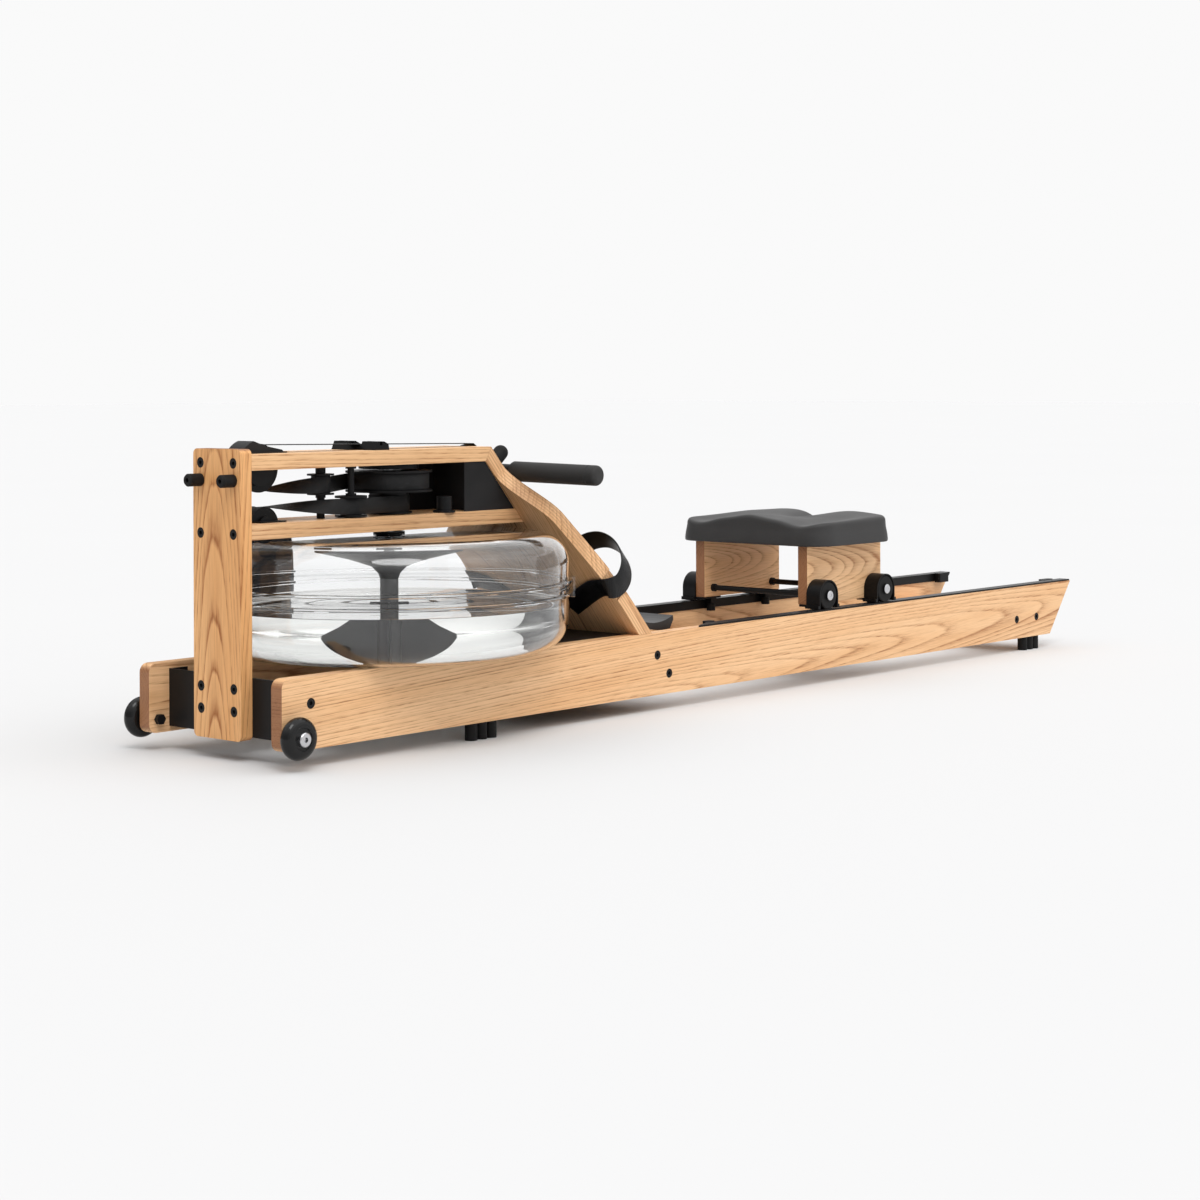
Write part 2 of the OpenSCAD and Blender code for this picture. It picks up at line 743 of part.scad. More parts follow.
// Last stretch of the handle strap, from the end of the deck down to the handle
module handle_strap() {
    color(webbing) from_bow() ribbon([
        [[lip[0] + 0.6, 0, lip[1]], [0, 1, 0]], [[handle_x - 4.9, 0, handle_z + 13.9], [0, 1, 0]]]);
}

// Return strap: small drum, lower spool, quarter twist, over the return pulley and down behind the post
module return_strap() {
    drum = [tank_x, 0];
    rl = mid_r(lower_spool_r);
    rd = mid_r(return_drum_r);
    rr = mid_r(return_r);
    a_in = meet([return_x, 0], lower_post, rl);
    centres = drum - lower_post;
    a_out = atan2(centres[1], centres[0]) - asin((rd - rl) / norm(centres)) - 90;
    arrive = on_circle(lower_post, rl, a_in);
    flat_from = [return_x + 16, 0, return_z + rr];
    clamp = [222, 234];
    color(webbing) from_bow() {
        ribbon(concat(
            upright_bend(drum, rd, a_out + 345, a_out, return_band_z, 30),
            upright_bend(lower_post, rl, a_out, a_in, return_band_z, 3),
            quarter_twist([arrive[0], arrive[1], return_band_z], flat_from, 10),
            [[flat_from, [0, 1, 0]]],
            flat_bend([return_x, return_z], rr, 90, 180, 8),
            [[[return_x - rr, 0, clamp[1] + 0.2], [0, 1, 0]]]));
        box([return_x - rr - 3.5, return_x - rr + 3.5], [-14, 14], clamp);
    }
}

// Elastic cord that takes the strap back: down the post, round the low pulley and along under the tank
module bungee_cord() {
    down_x = bungee_x - bungee_pulley_r;
    gap = 0.3;
    color(rubber_black) from_bow() {
        z_rod(bungee_r - gap, down_x, 0, [bungee_z, 222]);
        translate([bungee_x, 0, bungee_z]) rotate([90, 0, 0]) rotate([0, 0, 180]) rotate_extrude(angle = 90)
            translate([bungee_pulley_r, 0]) circle(bungee_r - gap);
        translate([bungee_x, 0, bungee_z - bungee_pulley_r]) rotate([0, 90, 0])
            cylinder(r = bungee_r - gap, h = bungee_back_x - bungee_x);
        translate([bungee_back_x, 0, bungee_z - bungee_pulley_r]) sphere(r = 9);
    }
}

// Dark box that closes the space between the decks at the foot board
module rear_housing() {
    plate = 1.6;
    y = deck_hw - 2;
    front = 463.5;
    slope_x = function(z) board_x + (top_deck_z - z) / tan(board_slope) - 0.3;
    color(grey_plastic) from_bow() {
        for (side = [-1, 1]) let (start = side < 0 ? front : front - 40)
            side_slab(plate, side * (y - plate / 2)) polygon([
                [start, low_deck_top], [slope_x(low_deck_top), low_deck_top],
                [slope_x(top_deck_z), top_deck_z], [start, top_deck_z]]);
        box([front + 30, front + 30 + plate], [-y, y], [low_deck_top, top_deck_z]);
    }
}

// Low ledge across the deck that holds a tablet; the strap passes through it
module tablet_rest() {
    x0 = 277;
    color(black_plastic) from_bow() difference() {
        side_slab(96) polygon([[x0, top_deck_top], [x0 + 30, top_deck_top], [x0 + 28, top_deck_top + 9],
                               [x0 + 19, top_deck_top + 13], [x0 + 6, top_deck_top + 13]]);
        box([x0 + 10.5, x0 + 15.5], [-50, 50], [top_deck_top + 7, top_deck_top + 16]);
        box([x0 - 5, x0 + 40], [-14.5, 14.5], [top_deck_top + 7, top_deck_top + 16]);
    }
}

// ---- transport wheels ----

module transport_wheel(side) {
    color(black_plastic) from_bow()
        translate([wheel_tr_x, side * (rail_out + 16), foot_h + 20]) rotate([90, 0, 0]) difference() {
            rotate_extrude($fn = 72) polygon(concat(
                [[0, -9.5], [15, -9.5], [16, -11]], arc([wheel_tr_r - 11, 0], 11, 270, 450, 12),
                [[16, 11], [15, 9.5], [0, 9.5]]));
            cylinder(r = 5, h = 40, center = true);
        }
}
module transport_wheel_left() transport_wheel(1);
module transport_wheel_right() transport_wheel(-1);

// ---- handle ----

module handle_arm_frame(side) {
    from_bow() translate([handle_x, 0, handle_z]) rotate([-side * arm_droop, 0, 0])
        rotate([0, 0, side * -arm_sweep]) rotate([side * -90, 0, 0]) children();
}

module handle_bar() {
    color(black_steel) for (side = [-1, 1]) handle_arm_frame(side) cylinder(r = bar_r, h = handle_arm - 8);
    color(black_steel) from_bow() translate([handle_x, 0, handle_z]) sphere(r = bar_r);
}

// Clamp that joins the two arms and takes the strap
module handle_hub() {
    color(black_plastic) difference() {
        from_bow() on_board() translate([40.4, 0, 37.9]) rotate([0, 90, 0]) linear_extrude(27.4)
            round_rect(12.8, 17, 6);
        for (side = [-1, 1]) handle_arm_frame(side) translate([0, 0, -1]) cylinder(r = bar_r, h = 60);
        from_bow() translate([handle_x, 0, handle_z]) sphere(r = bar_r);
    }
}

module grip(side) {
    color(grey_plastic) handle_arm_frame(side) difference() {
        rotate_extrude() polygon(concat(
            [[0, grip_in]], arc([grip_r - 3, grip_in + 3], 3, 270, 360, 3),
            arc([grip_r - 8, handle_arm - 8], 8, 0, 90, 6), [[0, handle_arm]]));
        translate([0, 0, grip_in - 1]) cylinder(r = bar_r, h = handle_arm - 8 - grip_in + 1);
    }
}
module grip_left() grip(1);
module grip_right() grip(-1);

// ---- foot stretchers ----

module foot_plates() {
    color(black_plastic) from_bow() on_board() for (side = [-1, 1])
        translate([0, side * foot_y, board_t]) difference() {
            translate([262, 0, 0]) linear_extrude(plate_t) round_rect(112, foot_hw - 8, 16);
            for (i = [0 : 4]) translate([190 + 26 * i, 0, -1]) cylinder(r = 4, h = plate_t + 2);
        }
}

// Sliding heel cup: a flat base on the foot plate that curls up round the heel to a thick lip
module heel_cup(side) {
    base = board_t + plate_t + 0.3;
    t = 5;
    outer_r = 139.3;
    inner_r = 110.7;
    outer = arc([cup_s, base + outer_r], outer_r, 270, 327, 14);
    inner = arc([cup_s, base + t + inner_r], inner_r, 343, 270, 16);
    color(grey_plastic) from_bow() on_board()
        side_slab(2 * foot_hw - 4, side * foot_y)
        polygon(concat([[cup_s - 40, base]], outer, [[cup_s + 112, base + 79]], inner, [[cup_s - 40, base + t]]));
}
module heel_cup_left() heel_cup(1);
module heel_cup_right() heel_cup(-1);

// Webbing loop over the foot, round the board's edge and across its bow face
module foot_strap(side) {
    edge = board_hw(strap_mid) + 0.4;
    r = (edge + foot_strap_t - 14) / 2;
    c = [edge + foot_strap_t - r, board_t + 24];
    foot = board_t + plate_t;
    under = -6;
    outer = concat([[c[0] - r, foot]], arc(c, r, 180, 0, 16), [[c[0] + r, under], [6, under]]);
    inner = concat([[6, under + foot_strap_t], [edge, under + foot_strap_t]],
                   arc(c, r - foot_strap_t, 0, 180, 16), [[c[0] - r + foot_strap_t, foot]]);
    color(webbing) from_bow() on_board() translate([strap_s, 0, 0]) mirror([0, side < 0 ? 1 : 0, 0])
        rotate([90, 0, 90]) linear_extrude(foot_strap_w) polygon(concat(outer, inner));
}
module foot_strap_left() foot_strap(1);
module foot_strap_right() foot_strap(-1);

// ---- seat ----

module seat_outline(grow) {
    round_rect(seat_hl + grow, seat_hw + grow, 46);
}

// Moulded seat: flared skirt, two hollows at the front, a relief at the back
module seat_pad() {
    top = seat_low + 53;
    color(grey_plastic) from_bow() translate([seat_x, 0, 0]) difference() {
        union() {
            translate([0, 0, seat_low]) linear_extrude(30) seat_outline(0);
            translate([0, 0, seat_low + 29]) linear_extrude(top - seat_low - 29) seat_outline(-4);
        }
        for (side = [-1, 1]) translate([-seat_hl, side * 92, top + 128]) rotate([0, 90, 0])
            cylinder(r1 = 144, r2 = 138, h = seat_hl * 1.9, $fn = 96);
        translate([seat_hl - 60, 0, top + 28]) rotate([0, 90, 0]) cylinder(r1 = 28, r2 = 44, h = 80, $fn = 64);
    }
}

// Two wooden side boards that carry the seat between the rails
module seat_boards() {
    y = seat_board_out - seat_board_t / 2;
    color(oak) from_bow() for (side = [-1, 1]) difference() {
        side_slab(seat_board_t, side * y) polygon([
            [seat_board_x - seat_board_hl, seat_board_z], [seat_board_x + seat_board_hl, seat_board_z],
            [seat_board_x + seat_board_hl, seat_low], [seat_board_x - seat_board_hl, seat_low]]);
        for (e = [-1, 1])
            y_rod(seat_axle_r, seat_board_x + e * seat_wheel_dx, seat_wheel_z, [side * y - 15, side * y + 15]);
    }
}

// Cross rods between the boards, whose ends are the wheels' axles
module seat_axles() {
    end = seat_wheel_y + seat_wheel_w / 2 + 1.4;
    inner = seat_board_out - seat_board_t;
    color(black_steel) from_bow() for (e = [-1, 1]) {
        x = seat_board_x + e * seat_wheel_dx;
        y_rod(seat_axle_r, x, seat_wheel_z, [-end, end]);
        for (side = [-1, 1]) {
            y_rod(9.5, x, seat_wheel_z, across(side, end - eps, end + 2));
            y_rod(7, x, seat_wheel_z, across(side, inner - 6, inner));
        }
    }
}

// Arches that guard the wheels, plates under the boards that they stand out from, and the guide rollers' pins
module wheel_guards() {
    low = track_top + 1.6;
    arch_in = seat_wheel_r + 1.2;
    arch_out = arch_in + 2.3;
    inner = [seat_board_out - 16, seat_board_out - 1.5];
    color(black_plastic) from_bow() for (side = [-1, 1]) {
        for (e = [-1, 1]) {
            x = seat_board_x + e * seat_wheel_dx;
            box([x - arch_out, x + arch_out], across(side, inner[0], inner[1]), [seat_board_z - 4, seat_board_z]);
            side_slab(rail_out - seat_board_out, side * (seat_board_out + rail_out) / 2) difference() {
                union() {
                    translate([x, seat_wheel_z]) circle(arch_out);
                    translate([x - arch_out, low]) square([2 * arch_out, seat_wheel_z - low]);
                    translate([x - arch_out - 4, low]) square([2 * arch_out + 8, 6]);
                }
                translate([x, seat_wheel_z]) circle(arch_in);
                translate([x - arch_in, low - 1]) square([2 * arch_in, seat_wheel_z - low + 1]);
                translate([x - arch_out - 5, low - 10]) square([2 * arch_out + 10, 10]);
            }
        }
        for (dx = roller_dx) {
            x = seat_board_x + dx;
            z_rod(roller_pin_r, x, side * roller_y, [roller_low + 1, seat_board_z]);
            box([x - roller_r, x + roller_r], across(side, roller_y - 7, roller_y + 7),
                [roller_low + roller_h + 0.5, seat_board_z]);
        }
    }
}

module seat_wheel(end, side) {
    color(black_plastic) from_bow()
        translate([seat_board_x + end * seat_wheel_dx, side * seat_wheel_y, seat_wheel_z]) rotate([90, 0, 0])
            difference() {
                rotate_extrude($fn = 72) polygon(concat(
                    [[0, -seat_wheel_w / 2]],
                    arc([seat_wheel_r - 2, 2 - seat_wheel_w / 2], 2, 270, 360, 3),
                    arc([seat_wheel_r - 2, seat_wheel_w / 2 - 2], 2, 0, 90, 3),
                    [[0, seat_wheel_w / 2]]));
                cylinder(r = seat_axle_r + play, h = 60, center = true);
            }
}
module seat_wheel_front_left() seat_wheel(-1, 1);
module seat_wheel_front_right() seat_wheel(-1, -1);
module seat_wheel_rear_left() seat_wheel(1, 1);
module seat_wheel_rear_right() seat_wheel(1, -1);

module guide_roller(i, side) {
    color(black_plastic) from_bow() difference() {
        x = seat_board_x + roller_dx[i];
        z_rod(roller_r, x, side * roller_y, [roller_low, roller_low + roller_h]);
        z_rod(roller_pin_r + play, x, side * roller_y, [roller_low - 1, roller_low + 20]);
    }
}
module guide_roller_front_left() guide_roller(0, 1);
module guide_roller_front_right() guide_roller(0, -1);
module guide_roller_rear_left() guide_roller(1, 1);
module guide_roller_rear_right() guide_roller(1, -1);

rail_left();
rail_right();
track_left();
track_right();
track_stops();
frame_bolts();
rubber_feet();
front_spreader();
tank_plate();
stern_spreader();
front_post();
top_deck();
lower_deck();
foot_board();
rubber_stops();
tank_lower();
tank_upper();
tank_seal();
tank_latches();
tank_plug();
shaft_bearings();
strap_supports();
pulley_hood();
bungee_cord();
return_strap();
drive_strap();
rear_housing();
tablet_rest();
paddle_wheel();
paddle_shaft();
strap_drum();
strap_pulley();
return_pulley();
guide_spool_upper();
guide_spool_lower();
bungee_pulley();
transport_wheel_left();
transport_wheel_right();
handle_strap();
handle_bar();
handle_hub();
grip_left();
grip_right();
foot_plates();
heel_cup_left();
heel_cup_right();
foot_strap_left();
foot_strap_right();
seat_pad();
seat_boards();
seat_axles();
wheel_guards();
seat_wheel_front_left();
seat_wheel_front_right();
seat_wheel_rear_left();
seat_wheel_rear_right();
guide_roller_front_left();
guide_roller_front_right();
guide_roller_rear_left();
guide_roller_rear_right();
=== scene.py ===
"""Water rowing machine in light wood: looks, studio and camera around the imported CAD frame."""
import json
import math

import bmesh
import bpy
from mathutils import Matrix, Vector

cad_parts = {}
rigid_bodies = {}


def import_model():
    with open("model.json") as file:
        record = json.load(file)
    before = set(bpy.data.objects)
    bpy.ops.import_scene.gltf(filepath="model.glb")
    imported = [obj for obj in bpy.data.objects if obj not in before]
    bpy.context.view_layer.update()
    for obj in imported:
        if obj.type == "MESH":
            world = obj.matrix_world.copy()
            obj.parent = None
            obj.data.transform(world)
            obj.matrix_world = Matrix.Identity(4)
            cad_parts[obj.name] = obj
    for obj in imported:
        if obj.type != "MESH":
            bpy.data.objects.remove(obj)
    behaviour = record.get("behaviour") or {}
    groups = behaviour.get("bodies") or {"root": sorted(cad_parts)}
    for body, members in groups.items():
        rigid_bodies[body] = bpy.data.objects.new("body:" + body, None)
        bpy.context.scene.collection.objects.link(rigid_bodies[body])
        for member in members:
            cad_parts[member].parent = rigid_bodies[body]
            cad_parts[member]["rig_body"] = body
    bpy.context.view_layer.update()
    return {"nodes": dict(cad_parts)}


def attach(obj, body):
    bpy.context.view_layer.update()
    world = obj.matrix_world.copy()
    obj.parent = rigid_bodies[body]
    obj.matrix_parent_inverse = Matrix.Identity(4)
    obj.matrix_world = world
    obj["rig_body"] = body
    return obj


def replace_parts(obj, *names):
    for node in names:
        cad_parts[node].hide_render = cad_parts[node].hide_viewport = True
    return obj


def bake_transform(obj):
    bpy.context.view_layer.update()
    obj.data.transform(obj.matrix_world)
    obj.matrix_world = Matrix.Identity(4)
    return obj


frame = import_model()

nodes = frame["nodes"]
scene = bpy.context.scene

# The CAD source counts millimetres from the bow end of the rails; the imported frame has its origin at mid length
MID_X = 1038.25
BOARD_X = 509.2
BOARD_Z = 411.0
BOARD_SLOPE = math.radians(49.4)
TANK_X = 350.8
QUARTER = math.pi / 2
UP = (0, 0, 1)


def bow(x, y, z):
    return Vector(((x - MID_X) / 1000, y / 1000, z / 1000))


def board(s, y, n):
    """A point on the sloping foot board: s down its bow face, n out of it towards the rower."""
    c, d = math.cos(BOARD_SLOPE), math.sin(BOARD_SLOPE)
    return bow(BOARD_X + s * c + n * d, y, BOARD_Z - s * d + n * c)


# ---- node graphs ----

class Graph:
    """One material, with short calls for the nodes it is made of."""

    def __init__(self, name, **shader):
        self.mat = bpy.data.materials.new(name)
        self.mat.use_nodes = True
        self.tree = self.mat.node_tree
        self.shader = next(n for n in self.tree.nodes if n.type == "BSDF_PRINCIPLED")
        self.coords = None
        for key, value in shader.items():
            self.put(self.shader.inputs[key.replace("_", " ")], value)

    def put(self, socket, value):
        if isinstance(value, bpy.types.NodeSocket):
            self.tree.links.new(value, socket)
        else:
            socket.default_value = value

    def add(self, kind, inputs=(), **settings):
        n = self.tree.nodes.new("ShaderNode" + kind)
        for key, value in settings.items():
            setattr(n, key, value)
        for key, value in dict(inputs).items():
            self.put(n.inputs[key], value)
        return n

    def place(self, scale=(1, 1, 1), rotate=(0, 0, 0), shift=(0, 0, 0), source="Object"):
        if self.coords is None:
            self.coords = self.add("TexCoord")
        turned = self.add("Mapping", {"Vector": self.coords.outputs[source], "Rotation": rotate})
        return self.add("Mapping", {"Vector": turned.outputs[0], "Location": shift, "Scale": scale}).outputs[0]

    def math(self, operation, *values, clamp=False):
        n = self.add("Math", enumerate(values), operation=operation, use_clamp=clamp)
        return n.outputs[0]

    def split(self, vector):
        return self.add("SeparateXYZ", {0: vector}).outputs

    def noise(self, vector, scale=1.0, detail=3.0, rough=0.5):
        inputs = {"Vector": vector, "Scale": scale, "Detail": detail, "Roughness": rough}
        return self.add("TexNoise", inputs).outputs["Fac"]

    def ramp(self, fac, *stops):
        n = self.add("ValToRGB", {"Fac": fac})
        marks = n.color_ramp.elements
        while len(marks) < len(stops):
            marks.new(0.5)
        for mark, (place, value) in zip(marks, stops):
            mark.position = place
            mark.color = (*value, 1) if isinstance(value, tuple) else (value, value, value, 1)
        return n.outputs["Color"]

    def mix(self, fac, a, b):
        n = self.add("Mix", data_type="RGBA")
        for socket, value in ((n.inputs[0], fac), (n.inputs[6], a), (n.inputs[7], b)):
            self.put(socket, (*value, 1) if isinstance(value, tuple) else value)
        return n.outputs[2]

    def bump(self, height, strength, distance):
        n = self.add("Bump", {"Height": height, "Strength": strength, "Distance": distance})
        self.put(self.shader.inputs["Normal"], n.outputs[0])

    def paint(self, color, roughness=None):
        self.put(self.shader.inputs["Base Color"], color)
        if roughness is not None:
            self.put(self.shader.inputs["Roughness"], roughness)


PALE_WOOD = (0.90, 0.575, 0.315)
WARM_WOOD = (0.83, 0.49, 0.242)
DARK_GRAIN = (0.38, 0.150, 0.050)
END_GRAIN = (0.34, 0.145, 0.060)
END_PORES = (0.13, 0.045, 0.018)
PLY_EDGE = (0.36, 0.16, 0.06)
PLY = 0.0024


def wood(name, rotate=(0, 0, 0), pith=(0.0, -0.07), tilt=0.0, shift=0.0, ring=0.0052, tone=1.0, plies=False,
         mirrored=False, hue=(1.0, 1.0, 1.0)):
    """Flat-sawn wood. The grain runs along the turned X, the board's face is across the turned Z.
    pith is where the tree's axis passes, across and behind the face; tilt makes the arches;
    ring is the width of a year's ring in metres."""
    g = Graph(name, Specular_IOR_Level=0.30, Coat_Weight=0.10, Coat_Roughness=0.34)

    def grainy(scale, offset=0.0, detail=3.0, rough=0.5):
        return g.noise(g.place(scale, rotate, (shift + offset, 0, 0)), 1.0, detail, rough)

    def tinted(base):
        return tuple(c * tone * h for c, h in zip(base, hue))

    # year rings round the pith, their radius unsettled by slow and quick waves
    x, y, z = g.split(g.place(rotate=rotate, shift=(shift, 0, 0)))
    if mirrored:
        z = g.math("ABSOLUTE", z)
    across = g.math("SUBTRACT", y, pith[0])
    depth = g.math("SUBTRACT", g.math("MULTIPLY_ADD", g.math("SUBTRACT", x, shift), tilt, z), pith[1])
    r = g.math("SQRT", g.math("ADD", g.math("MULTIPLY", across, across), g.math("MULTIPLY", depth, depth)))
    r = g.math("MULTIPLY_ADD", grainy((1.1, 7, 7), detail=2.0), 0.013, r)
    r = g.math("MULTIPLY_ADD", grainy((3.5, 60, 60), 3), 0.0022, r)
    uneven = g.add("TexNoise", {"W": g.math("DIVIDE", r, ring * 2.3), "Scale": 1.0, "Detail": 1.0},
                   noise_dimensions="1D").outputs["Fac"]
    phase = g.math("FRACT", g.math("ADD", g.math("DIVIDE", r, ring), g.math("MULTIPLY", uneven, 2.2)))
    early = g.ramp(phase, (0.0, 0.45), (0.06, 1.0), (0.17, 0.55), (0.42, 0.16), (0.93, 0.0), (1.0, 0.45))

    # fibres, pores, flecks and long dark streaks add up to how dark the grain is
    fibre = grainy((22, 820, 820), rough=0.65)
    pores = g.ramp(grainy((48, 1300, 1300), detail=1.0), (0.50, 0.0), (0.62, 1.0))
    flecks = g.ramp(grainy((16, 420, 420), 9, 1.0), (0.60, 0.0), (0.70, 1.0))
    streak = g.ramp(grainy((1.3, 34, 34), 5), (0.50, 0.0), (0.68, 1.0))
    dark = g.math("MULTIPLY", early, g.math("MULTIPLY_ADD", pores, 0.6, 0.40))
    dark = g.math("MULTIPLY_ADD", g.math("SUBTRACT", fibre, 0.5), 0.80, g.math("MULTIPLY", dark, 0.86))
    flecks = g.math("MULTIPLY", flecks, g.math("MULTIPLY_ADD", early, 0.7, 0.3))
    dark = g.math("MULTIPLY_ADD", flecks, 0.45, dark)
    dark = g.math("MULTIPLY_ADD", streak, g.math("MULTIPLY_ADD", early, 0.45, 0.10), dark, clamp=True)
    blotch = g.ramp(grainy((2.0, 26, 26), 7), (0.35, 0.0), (0.65, 1.0))
    color = g.mix(dark, g.mix(blotch, tinted(PALE_WOOD), tinted(WARM_WOOD)), tinted(DARK_GRAIN))

    # cut ends drink more oil and look darker
    turned = g.add("Mapping", {"Vector": g.coords.outputs["Normal"], "Rotation": rotate}, vector_type="VECTOR")
    facing, _, side = g.split(turned.outputs[0])
    end = g.ramp(g.math("ABSOLUTE", facing), (0.55, 0.0), (0.95, 1.0))
    specks = g.math("MULTIPLY_ADD", pores, 0.35, g.math("MULTIPLY", dark, 0.65), clamp=True)
    color = g.mix(g.math("MULTIPLY", end, 0.95), color, g.mix(specks, END_GRAIN, END_PORES))
    if plies:
        edge = g.ramp(g.math("ABSOLUTE", side), (0.3, 1.0), (0.7, 0.0))
        layer = g.math("PINGPONG", g.math("ADD", z, g.math("MULTIPLY", fibre, PLY / 4)), PLY)
        shade = g.ramp(g.math("DIVIDE", layer, PLY), (0.35, 0.38), (0.65, 0.03))
        color = g.mix(g.math("MULTIPLY", edge, shade), color, PLY_EDGE)
    g.paint(color, g.ramp(dark, (0.0, 0.44), (1.0, 0.60)))
    open_pores = g.math("SUBTRACT", 1.0, g.math("MULTIPLY", early, pores))
    g.bump(g.math("MULTIPLY_ADD", fibre, 0.4, open_pores), 0.35, 0.0004)
    return g.mat


def shaded(color, k, lift=0.0):
    return tuple(c * k + lift for c in color)


def speckled(name, color, rough, grain=900.0, depth=0.00012, spread=0.25, **shader):
    """Moulded plastic, powder coat, rubber: a fine skin texture, fine lighter specks that are painted highlights,
    and uneven sheen.
    """
    g = Graph(name, **shader)
    fine = g.noise(g.place(), grain, 3.0, 0.6)
    broad = g.noise(g.place(), 14.0, 3.0, 0.55)
    tint = g.ramp(broad, (0.3, shaded(color, 1 - spread)), (0.7, shaded(color, 1 + spread)))
    # painted highlights: fine specks lifted to a lighter tone stand in for tiny glints in the colour
    wear_and_painted_glints = g.mix(g.ramp(fine, (0.45, 0.0), (0.75, 0.22)), tint, shaded(color, 1.8, 0.002))
    uneven = g.math("MULTIPLY", g.math("SUBTRACT", broad, 0.5), 0.16)
    g.paint(wear_and_painted_glints, g.math("ADD", uneven, g.math("MULTIPLY_ADD", fine, 0.10, rough - 0.05)))
    g.bump(fine, 0.5, depth)
    return g.mat


def webbing(name, color=(0.0095, 0.0095, 0.010), pitch=0.0016, gloss=0.46):
    """Woven tape. Its piece has a UV map in metres, U along the tape and V across it."""
    g = Graph(name, Specular_IOR_Level=0.22)
    u, v, _ = g.split(g.place(source="UV"))
    warp = g.math("SINE", g.math("MULTIPLY", v, 2 * math.pi / pitch))
    over = g.math("MULTIPLY", g.math("SIGN", warp), QUARTER)
    weft = g.math("SINE", g.math("ADD", g.math("MULTIPLY", u, 2 * math.pi / (pitch * 1.2)), over))
    weave = g.math("MULTIPLY_ADD", g.math("MULTIPLY", warp, weft), 0.5, 0.5)
    wear_and_painted_glints = g.ramp(g.noise(g.place(), 60.0, 3.0), (0.5, 0.0), (0.8, 1.0))
    cord = g.mix(weave, shaded(color, 0.45), shaded(color, 1.5))
    g.paint(g.mix(g.math("MULTIPLY", wear_and_painted_glints, 0.35), cord, shaded(color, 3)),
            g.math("MULTIPLY_ADD", weave, -0.12, gloss + 0.06))
    g.bump(weave, 0.6, 0.0004)
    return g.mat


def metal(name, color, rough):
    """Machined metal with fine turning or drawing lines."""
    g = Graph(name, Metallic=1.0)
    streak = g.noise(g.place((300, 2200, 300)), 1.0, 2.0)
    broad = g.noise(g.place(), 90.0, 2.0)
    g.paint(g.mix(streak, shaded(color, 0.8), color), g.math("MULTIPLY_ADD", broad, 0.18, rough - 0.06))
    g.bump(streak, 0.25, 0.00005)
    return g.mat


def clear(name, tint, ior, wave=0.0):
    g = Graph(name, Transmission_Weight=1.0, IOR=ior, Roughness=0.0)
    mist = g.noise(g.place(), 9.0, 2.0)
    g.paint(g.mix(mist, tint, tuple(min(1.0, c * 1.01) for c in tint)))
    if wave:
        g.bump(g.noise(g.place(), 7.0, 2.0), wave, 0.001)
    return g.mat


materials = {
    "rail_left": wood("oak rail left", (-QUARTER, 0, 0), (0.085, -0.205), 0.03, 1.7),
    "rail_right": wood("oak rail right", (QUARTER, 0, 0.05), (-0.035, -0.185), 0.035, 4.1),
    "post": wood("oak post", (0, QUARTER, 0), (0.004, 0.990), 0.07, 2.3, hue=(0.96, 0.84, 0.66)),
    "top_deck": wood("oak top deck", (0, 0, 0), (-0.03, 0.36), 0.02, 5.2, hue=(0.96, 0.94, 0.90)),
    "lower_deck": wood("oak lower deck", (0, 0, 0), (-0.1, 0.25), 0.02, 8.4, tone=0.94),
    "foot_board": wood("plywood board", (0, -BOARD_SLOPE, 0), (0.02, -0.19), 0.05, 3.3, plies=True),
    "stern": wood("oak stern block", (0, 0, QUARTER), (0.03, 0.0), 0.03, 6.1, tone=0.9),
    "seat_boards": wood("oak seat boards", (QUARTER, 0, 0), (-0.20, 0.112), 0.12, 0.0, ring=0.0046,
                        mirrored=True),
    "steel": speckled("black powder coat", (0.0085, 0.0085, 0.009), 0.42, 1400.0, 0.00008,
                      Specular_IOR_Level=0.16),
    "plastic": speckled("moulded black plastic", (0.0065, 0.0063, 0.0065), 0.38, 1100.0, 0.0001,
                        Specular_IOR_Level=0.14),
    "paddle": speckled("paddle plastic", (0.019, 0.0195, 0.021), 0.34, 900.0, 0.00008,
                       Specular_IOR_Level=0.4),
    "gloss": speckled("glossy black tread", (0.006, 0.006, 0.0062), 0.16, 300.0, 0.00003,
                      Specular_IOR_Level=0.3),
    "grey": speckled("moulded dark grey plastic", (0.014, 0.0135, 0.014), 0.44, 1000.0, 0.00012,
                     Specular_IOR_Level=0.2),
    "cup": speckled("satin heel cup", (0.024, 0.0235, 0.024), 0.40, 1000.0, 0.00010,
                    Specular_IOR_Level=0.3),
    "rubber": speckled("black rubber", (0.0085, 0.0083, 0.0083), 0.55, 700.0, 0.00015,
                       Specular_IOR_Level=0.16),
    "foam": speckled("grip foam", (0.031, 0.030, 0.0295), 0.62, 620.0, 0.0004, 0.12,
                     Specular_IOR_Level=0.25),
    "pad": speckled("seat skin", (0.035, 0.034, 0.034), 0.50, 520.0, 0.00025, 0.10,
                    Specular_IOR_Level=0.3),
    "web": webbing("nylon webbing"),
    "strap": webbing("glossy strap", (0.0065, 0.0065, 0.007), 0.0022, 0.30),
    "cord": webbing("braided cord cover", (0.008, 0.008, 0.0085), 0.0018, 0.5),
    "silver": metal("turned steel", (0.66, 0.66, 0.68), 0.26),
    "tank": clear("clear tank shell", (0.978, 0.983, 0.985), 1.49),
    "water": clear("water", (0.965, 0.968, 0.945), 1.33, wave=0.06),
}

